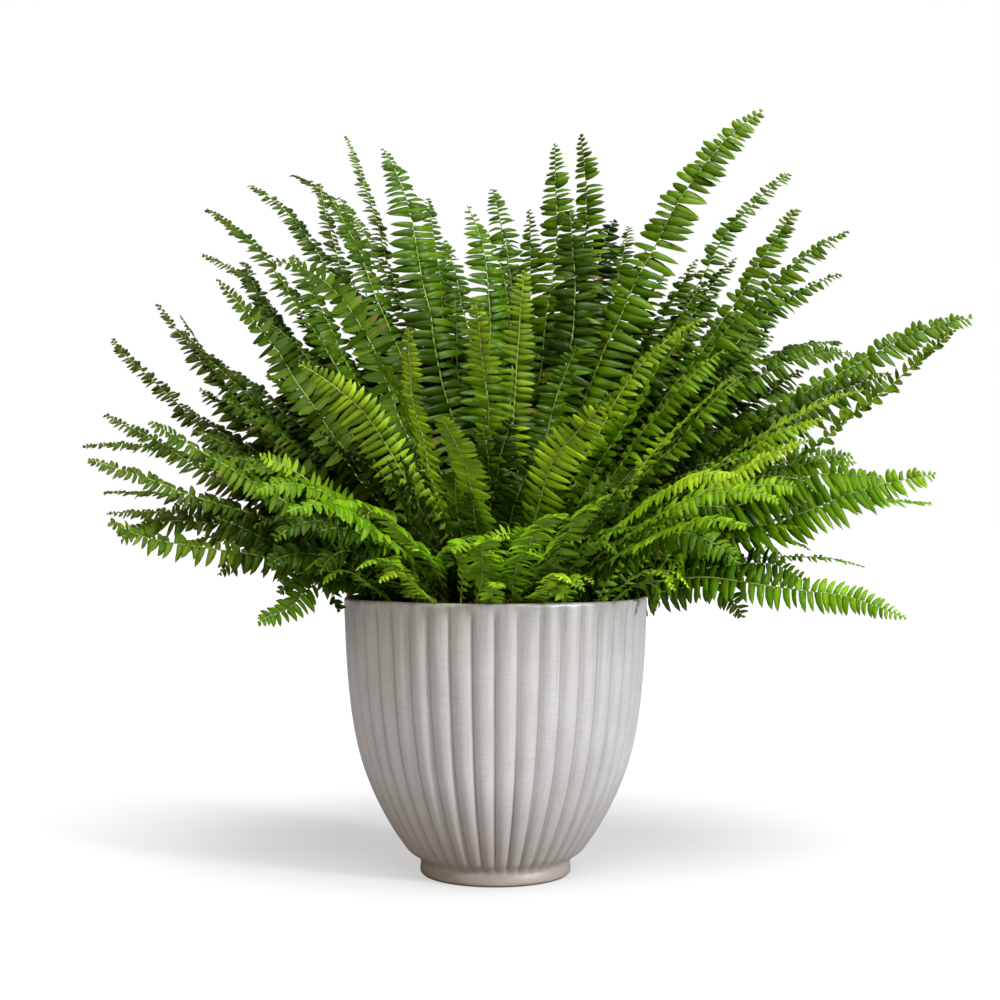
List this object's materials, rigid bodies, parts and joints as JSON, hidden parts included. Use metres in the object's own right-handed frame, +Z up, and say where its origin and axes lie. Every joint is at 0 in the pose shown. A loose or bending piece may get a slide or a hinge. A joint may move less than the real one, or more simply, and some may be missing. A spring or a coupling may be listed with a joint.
{
  "type": "potted boston fern",
  "caption": "Boston fern with long arching fronds in two rows of leaflets, spreading from a round fluted pot on a plain foot.",
  "frame": {"origin": "centre of the pot's flat base, on the surface that it stands on", "axes": "+Z up, +X to the right and -Y towards the viewer in the picture"},
  "size_m": [0.9643, 0.7407, 0.8202],
  "materials": {
    "pot": "matte",
    "soil": "matte",
    "frond_young": "satin",
    "frond_mid": "satin",
    "frond_old": "satin"
  },
  "bodies": {
    "root": {"pot": "pot", "soil": "soil", "frond_left_01": "frond_old", "frond_left_02": "frond_old", "frond_left_03": "frond_mid", "frond_left_04": "frond_old", "frond_left_05": "frond_old", "frond_left_06": "frond_old", "frond_left_07": "frond_mid", "frond_left_08": "frond_old", "frond_left_09": "frond_old", "frond_left_10": "frond_mid", "frond_left_11": "frond_mid", "frond_left_12": "frond_mid", "frond_left_13": "frond_mid", "frond_left_14": "frond_young", "frond_left_15": "frond_young", "frond_left_16": "frond_mid", "frond_left_17": "frond_old", "frond_left_18": "frond_old", "frond_left_19": "frond_mid", "frond_left_20": "frond_mid", "frond_left_21": "frond_mid", "frond_top_01": "frond_old", "frond_top_02": "frond_mid", "frond_top_03": "frond_old", "frond_top_04": "frond_young", "frond_top_05": "frond_young", "frond_top_06": "frond_mid", "frond_top_07": "frond_old", "frond_top_08": "frond_old", "frond_front_01": "frond_young", "frond_front_02": "frond_young", "frond_front_03": "frond_mid", "frond_right_01": "frond_mid", "frond_right_02": "frond_old", "frond_right_03": "frond_mid", "frond_right_04": "frond_old", "frond_right_05": "frond_old", "frond_right_06": "frond_old", "frond_right_07": "frond_mid", "frond_right_08": "frond_young", "frond_right_09": "frond_mid", "frond_right_10": "frond_mid", "frond_right_11": "frond_mid", "frond_right_12": "frond_young", "frond_right_13": "frond_mid", "frond_right_14": "frond_mid", "frond_right_15": "frond_mid", "frond_right_16": "frond_mid", "frond_right_17": "frond_young", "frond_right_18": "frond_young", "frond_right_19": "frond_mid", "frond_right_20": "frond_mid", "frond_back_01": "frond_old", "frond_back_02": "frond_old", "frond_back_03": "frond_mid", "frond_back_04": "frond_old", "frond_back_05": "frond_mid", "frond_back_06": "frond_old"}
  },
  "joints": []
}
